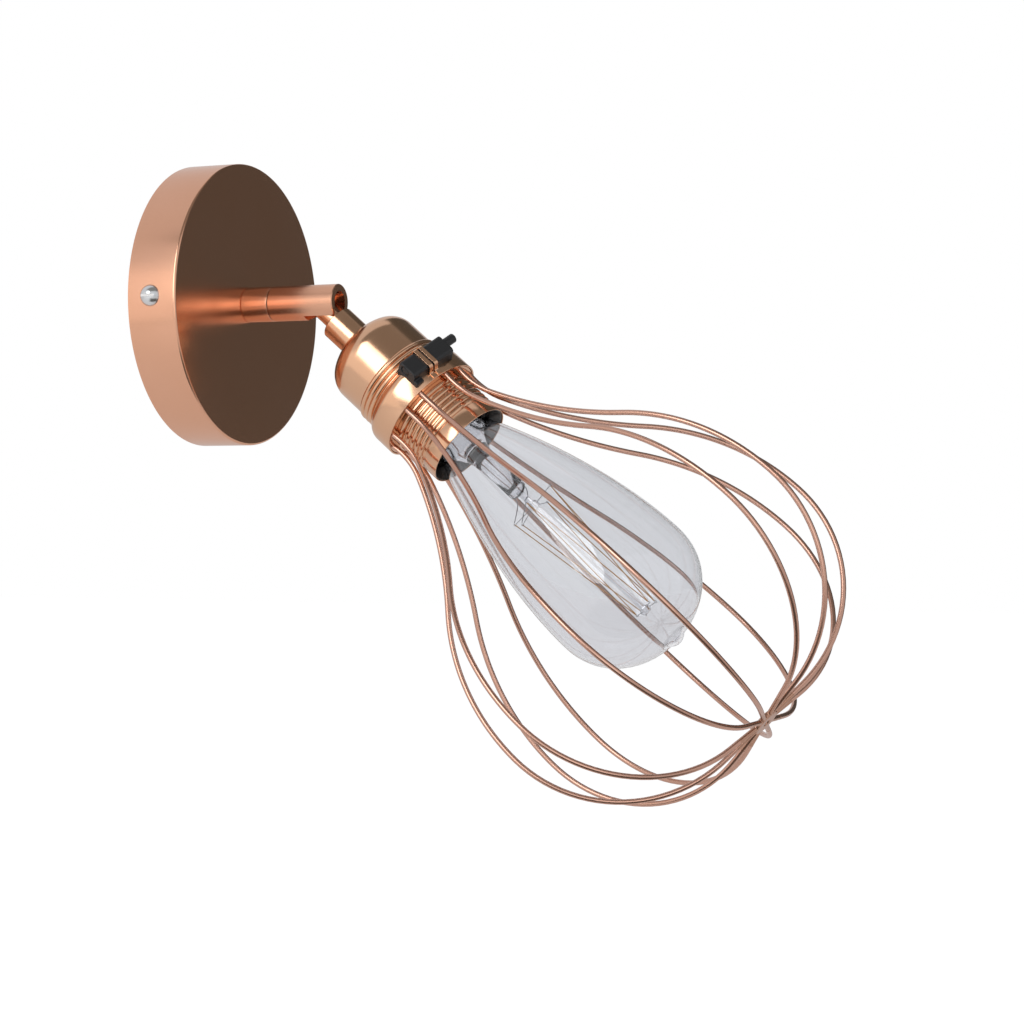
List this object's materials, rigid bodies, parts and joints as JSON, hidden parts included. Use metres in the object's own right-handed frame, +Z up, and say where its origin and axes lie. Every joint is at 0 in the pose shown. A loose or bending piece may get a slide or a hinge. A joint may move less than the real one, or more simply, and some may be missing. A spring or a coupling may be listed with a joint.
{
  "type": "wall light",
  "caption": "Copper cage wall light: round canopy, swivelling arm, tilting lamp holder with push switch, wire cage and clear filament bulb.",
  "frame": {"origin": "centre of the canopy's back plane, where the bracket meets the wall", "axes": "+X out of the wall along the arm, +Y sideways along the bracket's bar, +Z up"},
  "size_m": [0.2829, 0.1614, 0.2675],
  "materials": {
    "satin_copper": "copper plating over steel, fine satin grain",
    "polished_copper": "copper plating over steel, polished",
    "wire_copper": "copper-plated steel wire, soft polish",
    "zinc_steel": "zinc-plated steel",
    "chrome": "polished chrome plating",
    "white_plastic": "moulded polyamide",
    "brass": "turned and pressed brass",
    "brown_insulation": "wire insulation",
    "green_insulation": "green and yellow wire insulation",
    "black_steel": "blackened steel",
    "black_phenolic": "pressed black phenolic resin",
    "black_plastic": "moulded black plastic, fine texture",
    "clear_glass": "clear blown glass",
    "nickel": "rolled nickel-plated cap",
    "support_wire": "drawn molybdenum wire",
    "filament": "wound carbon-style filament, amber"
  },
  "bodies": {
    "wall_base": {"canopy": "satin_copper", "wall_bracket": "zinc_steel", "canopy_screws": "chrome", "terminal_block": "white_plastic", "block_screws": "zinc_steel", "terminal_screws": "zinc_steel", "earth_screw": "brass", "earth_washer": "brass", "canopy_leads": "brown_insulation", "earth_lead": "green_insulation", "swivel_stud": "brass", "stud_nut": "zinc_steel", "stud_washer": "zinc_steel", "arm_base": "satin_copper", "swivel_grub": "black_steel"},
    "arm": {"arm_clevis": "satin_copper", "pivot_pin": "polished_copper", "arm_leads": "brown_insulation"},
    "head": {"knuckle_tongue": "satin_copper", "cord_nipple": "brass", "dome_washer": "zinc_steel", "dome_nut": "zinc_steel", "head_leads": "brown_insulation", "holder_dome": "polished_copper", "holder_skirt": "polished_copper", "threaded_sleeve": "polished_copper", "shade_ring": "polished_copper", "holder_liner": "black_phenolic", "screw_shell": "brass", "centre_contact": "brass", "holder_terminals": "brass", "switch_housing": "black_plastic", "switch_saddle": "polished_copper", "cage_collar": "polished_copper", "cage_wire_01": "wire_copper", "cage_wire_02": "wire_copper", "cage_wire_03": "wire_copper", "cage_wire_04": "wire_copper", "cage_wire_05": "wire_copper", "cage_wire_06": "wire_copper", "cage_wire_07": "wire_copper", "cage_wire_08": "wire_copper", "cage_wire_09": "wire_copper", "cage_wire_10": "wire_copper", "cage_wire_11": "wire_copper", "cage_wire_12": "wire_copper", "cage_hub": "wire_copper", "bulb_glass": "clear_glass", "bulb_cap": "nickel", "bulb_insulator": "black_phenolic", "bulb_contact": "nickel", "bulb_stem": "clear_glass", "filament_supports": "support_wire", "filament": "filament"},
    "switch": {"switch_bar": "black_plastic"}
  },
  "joints": [
    {"name": "arm_swivel", "type": "hinge", "parent": "wall_base", "child": "arm", "pos_m": [0.035, 0, 0], "axis": [1, 0, 0], "range_deg": [-164.5, 164.5]},
    {"name": "head_tilt", "type": "hinge", "parent": "arm", "child": "head", "pos_m": [0.055, 0, 0], "axis": [0, 1, 0], "range_deg": [-40.5, 37.5]},
    {"name": "switch_push", "type": "slide", "parent": "head", "child": "switch", "axis": [0.4511, 0.7193, 0.5282], "range_m": [-0.0034, 0]}
  ]
}
